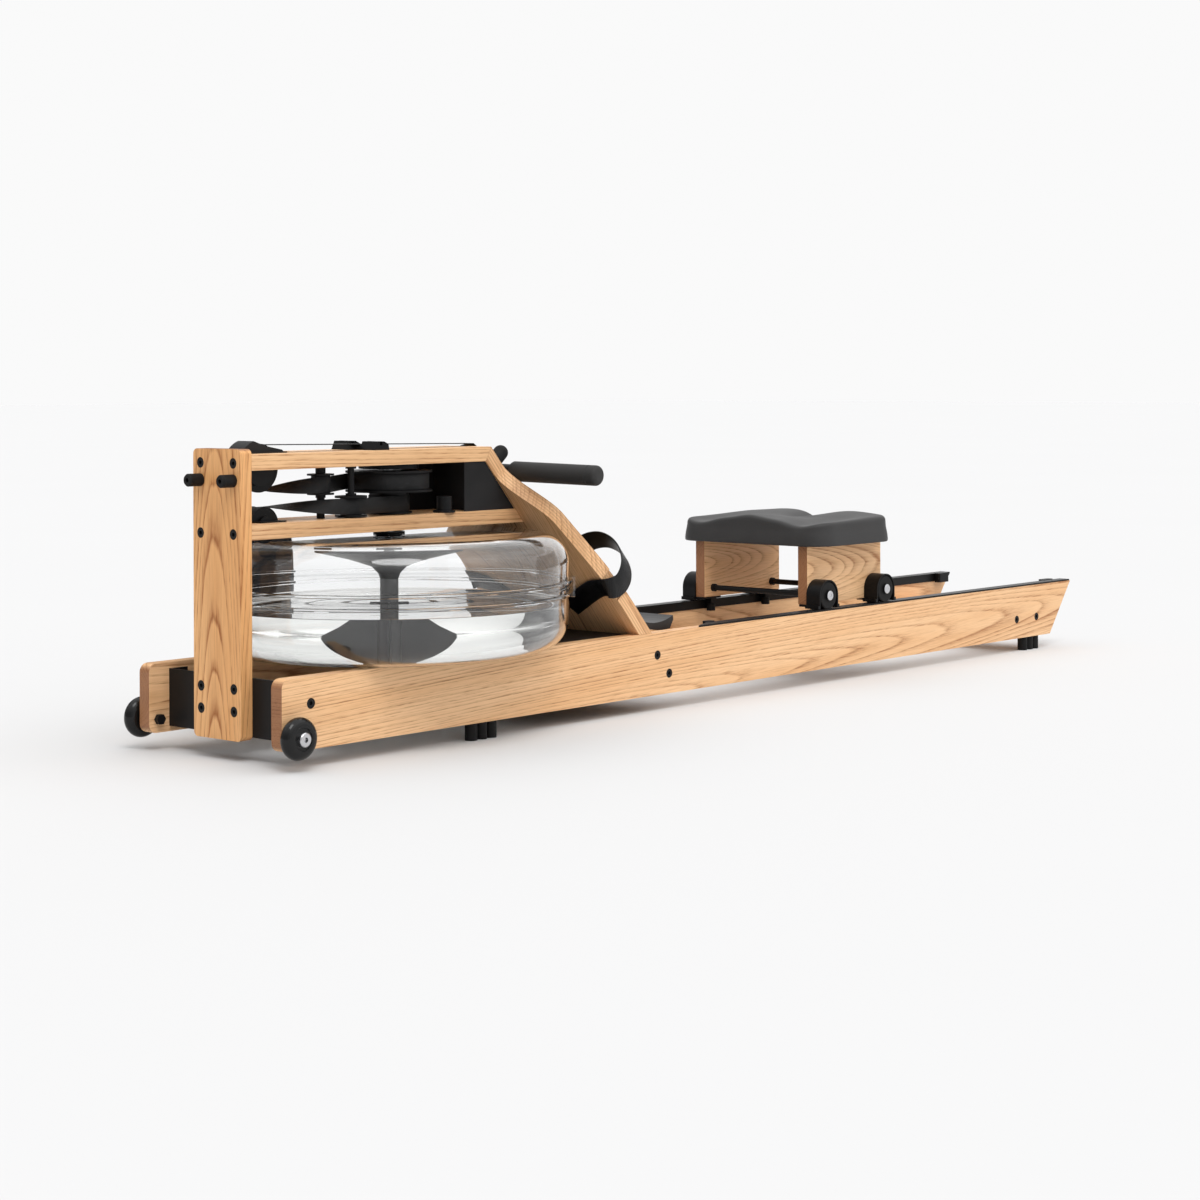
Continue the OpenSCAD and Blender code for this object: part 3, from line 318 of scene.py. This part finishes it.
finish_of = {
    "rail_left": ["rail_left"], "rail_right": ["rail_right"], "post": ["front_post"], "top_deck": ["top_deck"],
    "lower_deck": ["lower_deck"], "foot_board": ["foot_board"], "stern": ["stern_spreader"],
    "seat_boards": ["seat_boards"],
    "steel": ["frame_bolts", "front_spreader", "tank_plate", "strap_supports", "seat_axles", "handle_bar"],
    "plastic": ["track_left", "track_right", "track_stops", "tablet_rest", "shaft_bearings", "strap_drum",
                "strap_pulley", "return_pulley", "guide_spool_upper", "guide_spool_lower", "bungee_pulley",
                "handle_hub", "foot_plates", "wheel_guards"],
    "paddle": ["paddle_wheel"],
    "gloss": ["transport_wheel_left", "transport_wheel_right"],
    "grey": ["pulley_hood", "rear_housing"],
    "cup": ["heel_cup_left", "heel_cup_right"],
    "cord": ["bungee_cord"],
    "rubber": ["rubber_feet", "rubber_stops", "tank_plug", "seat_wheel_front_left", "seat_wheel_front_right",
               "seat_wheel_rear_left", "seat_wheel_rear_right", "guide_roller_front_left",
               "guide_roller_front_right", "guide_roller_rear_left", "guide_roller_rear_right"],
    "foam": ["grip_left", "grip_right"],
    "pad": ["seat_pad"],
    "web": ["return_strap", "drive_strap", "handle_strap"],
    "strap": ["foot_strap_left", "foot_strap_right"],
    "silver": ["paddle_shaft"],
    "tank": ["tank_lower", "tank_upper", "tank_latches", "tank_seal"],
}
for key, names in finish_of.items():
    for n in names:
        nodes[n].data.materials.clear()
        nodes[n].data.materials.append(materials[key])


# ---- mesh makers; their points are in bow millimetres unless said otherwise ----

def piece(name, bm, material, body, sharp=35, weighted=False):
    bmesh.ops.recalc_face_normals(bm, faces=bm.faces)
    mesh = bpy.data.meshes.new(name)
    bm.to_mesh(mesh)
    bm.free()
    obj = bpy.data.objects.new(name, mesh)
    scene.collection.objects.link(obj)
    mesh.polygons.foreach_set("use_smooth", [True] * len(mesh.polygons))
    mesh.set_sharp_from_angle(angle=math.radians(sharp))
    mesh.materials.append(materials[material])
    if weighted:
        m = obj.modifiers.new("Even normals", "WEIGHTED_NORMAL")
        m.keep_sharp = True
        m.weight = 100
    if body:
        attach(obj, body)
    return obj


def rounded(name, material, width):
    """A clean copy of a CAD node that stands for it, its edges eased by width when there is one."""
    cad = nodes[name]
    bm = bmesh.new()
    bm.from_mesh(cad.data)
    bmesh.ops.remove_doubles(bm, verts=bm.verts, dist=2e-5)
    bmesh.ops.dissolve_limit(bm, angle_limit=math.radians(0.6), verts=bm.verts, edges=bm.edges)
    if width:
        sharp = [e for e in bm.edges if len(e.link_faces) == 2 and e.calc_face_angle(0) > math.radians(28)]
        bmesh.ops.bevel(bm, geom=sharp, offset=width / 1000, segments=3, profile=0.5, affect="EDGES",
                        clamp_overlap=True)
    obj = piece(name + ".eased", bm, material, cad["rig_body"], 40, True)
    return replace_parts(obj, name)


def lathe(name, profile, centre, axis, material, body, steps=128, closed=True, sharp=35):
    """A turned piece: profile is (radius, height) along axis from centre."""
    bm = bmesh.new()
    axis = Vector(axis).normalized()
    side = axis.orthogonal().normalized()
    other = axis.cross(side)
    rings = []
    for r, h in profile:
        base = bow(*centre) + axis * (h / 1000)
        if r < 1e-6:
            rings.append([bm.verts.new(base)] * steps)
        else:
            rings.append([bm.verts.new(base + (side * math.cos(a) + other * math.sin(a)) * (r / 1000))
                          for a in (2 * math.pi * i / steps for i in range(steps))])
    pairs = list(zip(rings, rings[1:])) + ([(rings[-1], rings[0])] if closed else [])
    for low, high in pairs:
        for i in range(steps):
            k = (i + 1) % steps
            corners = []
            for v in (low[i], low[k], high[k], high[i]):
                if v not in corners:
                    corners.append(v)
            if len(corners) > 2:
                bm.faces.new(corners)
    return piece(name, bm, material, body, sharp)


def arc(cx, cy, r, a0, a1, steps):
    return [(cx + r * math.cos(math.radians(a0 + (a1 - a0) * i / steps)),
             cy + r * math.sin(math.radians(a0 + (a1 - a0) * i / steps))) for i in range(steps + 1)]


def tape(name, stations, width, thick, material, body):
    """A flat strap along (point, direction of its width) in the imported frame's metres, with UVs in metres."""
    bm = bmesh.new()
    uv = bm.loops.layers.uv.new("tape")
    half, t = width / 2, thick / 2
    shape = [(-half, -t * 0.4), (-half + t, -t), (half - t, -t), (half, -t * 0.4),
             (half, t * 0.4), (half - t, t), (-half + t, t), (-half, t * 0.4)]
    rings = []
    run = 0.0
    for i, (p, w) in enumerate(stations):
        p = Vector(p)
        before = Vector(stations[max(i - 1, 0)][0])
        after = Vector(stations[min(i + 1, len(stations) - 1)][0])
        way = (after - before).normalized()
        n = way.cross(Vector(w)).normalized()
        w = n.cross(way)
        run += (p - before).length if i else 0.0
        rings.append((run, [bm.verts.new(p + w * a + n * b) for a, b in shape]))
    for (u0, low), (u1, high) in zip(rings, rings[1:]):
        for k in range(len(shape)):
            j = (k + 1) % len(shape)
            f = bm.faces.new((low[k], low[j], high[j], high[k]))
            for loop, (u, q) in zip(f.loops, ((u0, k), (u0, j), (u1, j), (u1, k))):
                loop[uv].uv = (u, shape[q][0])
    for _, ring in (rings[0], rings[-1]):
        bm.faces.new(ring)
    return piece(name, bm, material, body, 50)


def smooth_line(points, per):
    """Catmull-Rom points through the given ones, per of them to each span."""
    points = [Vector(p) for p in points]
    out = []
    for i in range(len(points) - 1):
        a, b, c, d = points[max(i - 1, 0)], points[i], points[i + 1], points[min(i + 2, len(points) - 1)]
        for k in range(per):
            t = k / per
            square = (2 * a - 5 * b + 4 * c - d) * t * t
            cube = (3 * b - a - 3 * c + d) * t ** 3
            out.append(0.5 * (2 * b + (c - a) * t + square + cube))
    return out + [points[-1]]


def smooth01(t):
    t = min(max(t, 0.0), 1.0)
    return t * t * (3 - 2 * t)


# ---- eased wood and cleaned copies ----

for n, key, width in (("rail_left", "rail_left", 2.5), ("rail_right", "rail_right", 2.5),
                      ("front_post", "post", 2.0), ("top_deck", "top_deck", 1.6),
                      ("lower_deck", "lower_deck", 1.6), ("stern_spreader", "stern", 1.5),
                      ("seat_boards", "seat_boards", 2.0)):
    rounded(n, key, width)
rounded("foot_board", "foot_board", 1.6)

# these two only lose the stray slivers of their mesh
rounded("handle_bar", "steel", 0)
rounded("rubber_stops", "rubber", 0)

# ---- tank, water ----

WALL = 4.0
TANK_R = 275.0
TANK_TOP = 304.5
TANK_LOW = 127.0
SEAM = 222.5
LOW_EDGE = 50
TOP_EDGE = 48
PLUG_R = 20
WATER_TOP = 199.0
FILM = 0.25
tank_at = (TANK_X, 0, 0)


def low_shell(off):
    """Section of the tank's lower half, off inside its outer face."""
    edge = arc(TANK_R - LOW_EDGE, TANK_LOW + LOW_EDGE, LOW_EDGE - off, 270, 360, 16)
    return [(0, TANK_LOW + off)] + edge + [(TANK_R - off, SEAM - 1)]


def high_shell(off):
    """Section of the tank's upper half, off inside its outer face."""
    edge = arc(TANK_R - TOP_EDGE, TANK_TOP - TOP_EDGE, TOP_EDGE - off, 0, 90, 16)
    return [(TANK_R - off, SEAM + 1)] + edge + [(PLUG_R, TANK_TOP - off)]


def flange(low):
    """Rim from height low to 5 above it, standing 5 out of the wall."""
    return [(TANK_R, low), (TANK_R + 4, low), (TANK_R + 5, low + 1), (TANK_R + 5, low + 4),
            (TANK_R + 4, low + 5), (TANK_R, low + 5)]


lower = low_shell(0)[:-1] + flange(SEAM - 12) + [(TANK_R, SEAM - 1)] + list(reversed(low_shell(WALL)))
upper = [(TANK_R, SEAM + 1)] + flange(SEAM + 7) + high_shell(0)[1:] + list(reversed(high_shell(WALL)))
for name, profile, closed in (("tank_lower", lower, False), ("tank_upper", upper, True)):
    shell = lathe(name + "_shell", profile, tank_at, UP, "tank", "frame", 160, closed)
    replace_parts(shell, name)
wet_r = TANK_R - WALL - FILM
water = low_shell(WALL + FILM)[:-1] + [(wet_r, WATER_TOP + 1.2), (wet_r - 1.5, WATER_TOP + 0.3),
                                       (wet_r - 4, WATER_TOP), (0, WATER_TOP)]
lathe("tank_water", water, tank_at, UP, "water", "frame", 160, False)

# ---- seat pad ----

SEAT_X = 1348.0
SEAT_LOW = 240.8
SEAT_TOP = 288.0


def seat_top(x, y):
    """Height of the moulded top, x towards the stern from the seat's middle."""
    front = smooth01((90 - x) / 180)
    a = abs(y)
    hollow = 11.5 * math.exp(-((a - 115) / 38) ** 2)
    hump = 6.0 * math.exp(-(a / 34) ** 2)
    dip = 13.0 * math.exp(-(a / 26) ** 2)
    ridge = 5.5 * math.exp(-((a - 75) / 50) ** 2)
    middle = 5.0 * math.exp(-((x - 8) / 62) ** 2) * math.exp(-((a - 74) / 50) ** 2)
    fall = smooth01((a - 145) / 20)
    return SEAT_TOP + front * (hump - hollow) + (1 - front) * (ridge - dip) - middle - fall


def seat_pad():
    around = 144
    bm = bmesh.new()
    rings = []

    def outline(t, grow):
        """Rounded rectangle with half sides 119 and 166.5, grown by grow, at turn t."""
        c, s = math.cos(t), math.sin(t)
        a, b = max(abs(c), 1e-9), max(abs(s), 1e-9)
        hx, hy, r = 119.0 + grow, 166.5 + grow, max(46 + grow, 4)
        k = min(hx / a, hy / b)
        px, py = hx - r, hy - r
        if k * a > px and k * b > py:
            m = a * px + b * py
            k = m + math.sqrt(m * m - px * px - py * py + r * r)
        return k * c, k * s

    skirt = [(-60, 0.5), (-20, 0.5), (-6.0, 0.2), (-1.6, 0.0), (0.0, 1.8), (-0.4, 9.0), (-1.8, 19.0),
             (-4.0, 27.0)]
    for grow, up in skirt:
        rings.append([bm.verts.new(bow(SEAT_X + x, y, SEAT_LOW + up))
                      for x, y in (outline(2 * math.pi * i / around, grow) for i in range(around))])
    rounding = ((4.3, 9.0), (4.9, 6.0), (6.3, 3.2), (8.6, 1.3), (12.0, 0.3), (18.0, 0.0))
    flat = tuple((inset, 0.0) for inset in (28.0, 40.0, 54.0, 68.0, 84.0, 100.0))
    for inset, drop in rounding + flat:
        ring = []
        for i in range(around):
            x, y = outline(2 * math.pi * i / around, -inset)
            ring.append(bm.verts.new(bow(SEAT_X + x, y, seat_top(x, y) - drop)))
        rings.append(ring)
    for low, high in zip(rings, rings[1:]):
        for i in range(around):
            k = (i + 1) % around
            bm.faces.new((low[i], low[k], high[k], high[i]))
    for ring, z in ((rings[0], SEAT_LOW + 0.5), (rings[-1], seat_top(0, 0))):
        hub = bm.verts.new(bow(SEAT_X, 0, z))
        for i in range(around):
            bm.faces.new((ring[i], ring[(i + 1) % around], hub))
    obj = piece("seat_cushion", bm, "pad", "seat_carriage", 60)
    m = obj.modifiers.new("Fine", "SUBSURF")
    m.levels = m.render_levels = 1
    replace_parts(obj, "seat_pad")
    return obj


seat_pad()

# ---- straps between the wheels, the same route as in the CAD ----


def strap_bend(centre, r, a0, a1, steps, at):
    return [at(centre[0] + r * math.cos(a), centre[1] + r * math.sin(a))
            for a in (math.radians(a0 + (a1 - a0) * i / steps) for i in range(steps + 1))]


def upright(z):
    return lambda x, y: (bow(x, y, z), (0, 0, 1))


def lying(x, z):
    return (bow(x, 0, z), (0, 1, 0))


def twist(start, end, steps=18):
    out = []
    for i in range(1, steps):
        t, a = i / steps, QUARTER * i / steps
        p = Vector(start).lerp(Vector(end), t)
        out.append((bow(*p), (0, math.sin(a), math.cos(a))))
    return out


def straight(start, end, steps):
    """Lying stations from start to end, both (x, z)."""
    return [lying(start[0] + (end[0] - start[0]) * i / steps, start[1] + (end[1] - start[1]) * i / steps)
            for i in range(steps + 1)]


STRAP_W = 0.024
STRAP_T = 0.0012
DRUM = (TANK_X, 0)
UPPER_Z = 385
LOWER_Z = 351.5
UPPER_SPOOL = (205, -8)
LOWER_SPOOL = (248, -27)
PULLEY = (82, 412.5)
RETURN_PULLEY = (92, 330)

drive = (strap_bend(DRUM, 60.8, -220.7, 124.3, 110, upright(UPPER_Z))
         + strap_bend(UPPER_SPOOL, 14.8, -55.7, -100.6, 8, upright(UPPER_Z))
         + twist((202.28, -22.55, UPPER_Z), (98, 0, 379.1)) + [lying(98, 379.1)]
         + strap_bend(PULLEY, 33.4, 270, 90, 36, lying)
         + straight((82, 445.9), (522.3, 437.9), 12)[1:])
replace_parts(tape("drive_webbing", drive, STRAP_W, STRAP_T, "web", "frame"), "drive_strap")
back = (strap_bend(DRUM, 30.8, 262.2, -82.85, 90, upright(LOWER_Z))
        + strap_bend(LOWER_SPOOL, 16.8, -82.85, -105.9, 6, upright(LOWER_Z))
        + twist((243.4, -43.16, LOWER_Z), (108, 0, 354.8)) + [lying(108, 354.8)]
        + strap_bend(RETURN_PULLEY, 24.8, 90, 180, 16, lying) + [lying(67.2, z) for z in (300, 270, 240, 226)])
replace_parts(tape("return_webbing", back, STRAP_W, STRAP_T, "web", "frame"), "return_strap")

# the handle's strap runs over the seat side from the drive strap's end to the handle; it is baked where it lies
# and rides no body
pull = straight((522.9, 437.9), (567.5, 408.2), 10)
handle_web = tape("handle_webbing", pull, STRAP_W, STRAP_T, "web", None)
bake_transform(handle_web)
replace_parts(handle_web, "handle_strap")

# ---- foot straps: over the foot, round the board's edge and slanting across its bow face ----

# down the board, across it and out of it
route = [(318, 42, -2.6), (300, 72, -2.6), (281, 104, -2.6), (269, 128, -2.7), (266, 147, -3.4),
         (270, 155.5, 2), (277, 157.6, 14), (279, 157.6, 28), (276, 155, 44), (271, 147, 60), (264, 132, 76),
         (258, 110, 88), (255, 84, 93), (257, 57, 88), (263, 36, 73), (270, 23, 54), (273, 16, 40),
         (273, 15, 31.2)]
for name, side in (("left", 1), ("right", -1)):
    line = smooth_line(route, 6)
    stations = []
    for i, (s, y, n) in enumerate(line):
        lean = 0.55 * (1 - smooth01((i - 18) / 14))
        stations.append((board(s, side * y, n), board(1, side * lean, 0) - board(0, 0, 0)))
    loop = tape("foot_webbing_" + name, stations, 0.036, 0.0022, "strap", "frame")
    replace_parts(loop, "foot_strap_" + name)


# ---- cord, grips and bright fittings ----

CORD_GIRTH = 0.027


def tube(name, path, material, body, around=20):
    """A round cord through (point, radius) stations in one plane along Y, with UVs in metres."""
    bm = bmesh.new()
    uv = bm.loops.layers.uv.new("tube")
    rings = []
    run = 0.0
    for i, (p, r) in enumerate(path):
        before, after = path[max(i - 1, 0)][0], path[min(i + 1, len(path) - 1)][0]
        way = (after - before).normalized()
        out = way.cross(Vector((0, 1, 0)))
        run += (p - before).length if i else 0.0
        rings.append((run, [bm.verts.new(p + (out * math.cos(t) + Vector((0, math.sin(t), 0))) * r)
                            for t in (2 * math.pi * k / around for k in range(around))]))
    for (u0, low), (u1, high) in zip(rings, rings[1:]):
        for k in range(around):
            j = (k + 1) % around
            f = bm.faces.new((low[k], low[j], high[j], high[k]))
            for loop, (u, q) in zip(f.loops, ((u0, k), (u0, k + 1), (u1, k + 1), (u1, k))):
                loop[uv].uv = (u, CORD_GIRTH * q / around)
    for _, ring in (rings[0], rings[-1]):
        bm.faces.new(ring)
    return piece(name, bm, material, body, 50)


CORD_R = 0.0042
down = [(67.2, z) for z in (221.8, 190, 150, 110, 80)]
along = [(x, 55) for x in (150, 300, 450, 600, 700, 733)]
knot = [(734, 0.006), (737, 0.0082), (742, 0.009), (747, 0.0078), (750.5, 0.003)]
run_of_cord = [(bow(x, 0, z), CORD_R) for x, z in down + arc(87.2, 75, 20, 180, 270, 10) + along]
run_of_cord += [(bow(x, 0, 55), r) for x, r in knot]
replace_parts(tube("bungee_braid", run_of_cord, "cord", "frame"), "bungee_cord")

HANDLE_AT = (572.4, 0, 394.3)
WHEEL_X, WHEEL_Y, WHEEL_Z = 16.5, 156.6, 46
AXLE_X, AXLE_Y, AXLE_Z = 1354.7, 157.4, 154.2
AXLE_GAP = 87.5
grip_outline = ([(11, 45), (13, 45), (14.8, 45.9), (16, 48.5), (16, 120), (16, 192), (15.3, 192.5),
                 (15.3, 193.6), (16, 194.2)] + arc(8, 204, 8, 0, 90, 8) + [(0, 212), (0, 204), (11, 204)])
boss_outline = [(0, 28.9), (3.2, 28.9), (3.5, 31.6), (8.8, 31.6), (10, 30.4), (10, 25.6), (0, 25.6)]
axle_outline = [(0, 2.1), (3.0, 2.1), (3.2, 2.9), (7.6, 2.9), (8.4, 2.3), (8.4, 2.05), (0, 2.05)]
for name, side in (("left", 1), ("right", -1)):
    grip = lathe("grip_foam_" + name, grip_outline, HANDLE_AT, (0.1219, side * 0.9922, -0.0242),
                 "foam", "handle", 64)
    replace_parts(grip, "grip_" + name)
    lathe("wheel_boss_" + name, boss_outline, (WHEEL_X, side * WHEEL_Y, WHEEL_Z), (0, side, 0),
          "silver", "frame", 48)
    for end, dx in (("front", -AXLE_GAP), ("rear", AXLE_GAP)):
        lathe("axle_end_" + end + "_" + name, axle_outline, (AXLE_X + dx, side * AXLE_Y, AXLE_Z), (0, side, 0),
              "silver", "seat_carriage", 40)

# ---- studio ----


def stage_plane(name, corners, material):
    mesh = bpy.data.meshes.new(name)
    mesh.from_pydata(corners, [], [(0, 1, 2, 3)])
    obj = bpy.data.objects.new(name, mesh)
    scene.collection.objects.link(obj)
    mesh.materials.append(material)
    return obj


FLOOR = 40
YAW = math.radians(49.07)

g = Graph("studio floor", Roughness=0.9, Specular_IOR_Level=0.0)
g.paint(g.mix(g.noise(g.place(), 0.8, 2.0), (0.665, 0.665, 0.667), (0.675, 0.675, 0.677)))
stage_plane("floor", [(x * FLOOR, y * FLOOR, 0) for x, y in ((-1, -1), (1, -1), (1, 1), (-1, 1))], g.mat)

# a black card behind the tank, seen only through clear plastic and in gloss
g = Graph("black card", Roughness=1.0, Specular_IOR_Level=0.0)
g.paint(g.mix(g.noise(g.place(), 3.0), (0.015, 0.015, 0.016), (0.02, 0.02, 0.021)))
ahead = Vector((math.sin(YAW), math.cos(YAW), 0))
right = Vector((ahead.y, -ahead.x, 0))
card_at = bow(TANK_X, 0, 0) + ahead * 0.85
CARD_FAR, CARD_NEAR, CARD_TOP = -1.6, -0.270, 0.9
card_corners = [(CARD_FAR, 0.0), (CARD_NEAR, 0.0), (CARD_NEAR, CARD_TOP), (CARD_FAR, CARD_TOP)]
card = stage_plane("card", [card_at + right * a + Vector((0, 0, b)) for a, b in card_corners], g.mat)
card.visible_camera = False
card.visible_diffuse = False
card.visible_shadow = False

sun = bpy.data.lights.new("sky window", "SUN")
sun.energy = 0.9
sun.angle = math.radians(26)
sun_obj = bpy.data.objects.new("sky window", sun)
scene.collection.objects.link(sun_obj)
sun_obj.rotation_mode = "QUATERNION"
sun_obj.rotation_quaternion = Vector((0.35, 0.50, -1.0)).to_track_quat("-Z", "Y")

world = bpy.data.worlds.new("studio")
scene.world = world
world.use_nodes = True
tree = world.node_tree
back_node = next(n for n in tree.nodes if n.type == "BACKGROUND")
direction = tree.nodes.new("ShaderNodeTexCoord").outputs["Generated"]


def lobe(aim, start, end, amount):
    """Light that grows from 0 to amount as a direction nears aim, from cosine start to cosine end."""
    dot = tree.nodes.new("ShaderNodeVectorMath")
    dot.operation = "DOT_PRODUCT"
    tree.links.new(direction, dot.inputs[0])
    dot.inputs[1].default_value = Vector(aim).normalized()
    span = tree.nodes.new("ShaderNodeMapRange")
    span.interpolation_type = "SMOOTHSTEP"
    tree.links.new(dot.outputs["Value"], span.inputs["Value"])
    for key, value in (("From Min", start), ("From Max", end), ("To Min", 0.0), ("To Max", amount)):
        span.inputs[key].default_value = value
    return span.outputs[0]


def add_up(*values):
    total = values[0]
    for v in values[1:]:
        n = tree.nodes.new("ShaderNodeMath")
        n.operation = "ADD"
        for socket, value in zip(n.inputs, (total, v)):
            if isinstance(value, bpy.types.NodeSocket):
                tree.links.new(value, socket)
            else:
                socket.default_value = value
        total = n.outputs[0]
    return total


# even room light, a soft box overhead, one low at the near side and one behind the machine
AMBIENT = 0.36
BACKDROP = 0.955
studio = add_up(AMBIENT, lobe(UP, 0.20, 0.95, 1.0), lobe((0.35, -0.90, 0.35), 0.30, 0.95, 0.55),
                lobe((0.755, 0.655, 0.05), 0.70, 0.97, 0.62))
ray = tree.nodes.new("ShaderNodeLightPath")
choose = tree.nodes.new("ShaderNodeMix")
tree.links.new(ray.outputs["Is Camera Ray"], choose.inputs["Factor"])
tree.links.new(studio, choose.inputs[2])
choose.inputs[3].default_value = BACKDROP
tree.links.new(choose.outputs[0], back_node.inputs["Color"])

# ---- camera ----

CAMERA_AT = (-3.23165, -2.6928, 0.5409)
DIP = math.radians(0.06)
ROLL = math.radians(-0.2)

cam = bpy.data.cameras.new("camera")
cam.lens = 72.56
cam.sensor_width = 36.0
cam.shift_x = -0.0248
cam.shift_y = -0.1833
cam.clip_start = 0.05
cam.clip_end = 200.0
cam_obj = bpy.data.objects.new("camera", cam)
scene.collection.objects.link(cam_obj)
look = Vector((math.sin(YAW) * math.cos(DIP), math.cos(YAW) * math.cos(DIP), -math.sin(DIP)))
level_right = look.cross(Vector(UP)).normalized()
level_up = level_right.cross(look)
cam_right = level_right * math.cos(ROLL) + level_up * math.sin(ROLL)
cam_up = level_up * math.cos(ROLL) - level_right * math.sin(ROLL)
turn = Matrix((cam_right, cam_up, -look)).transposed().to_4x4()
cam_obj.matrix_world = Matrix.Translation(CAMERA_AT) @ turn
scene.camera = cam_obj
scene.view_settings.view_transform = "Standard"
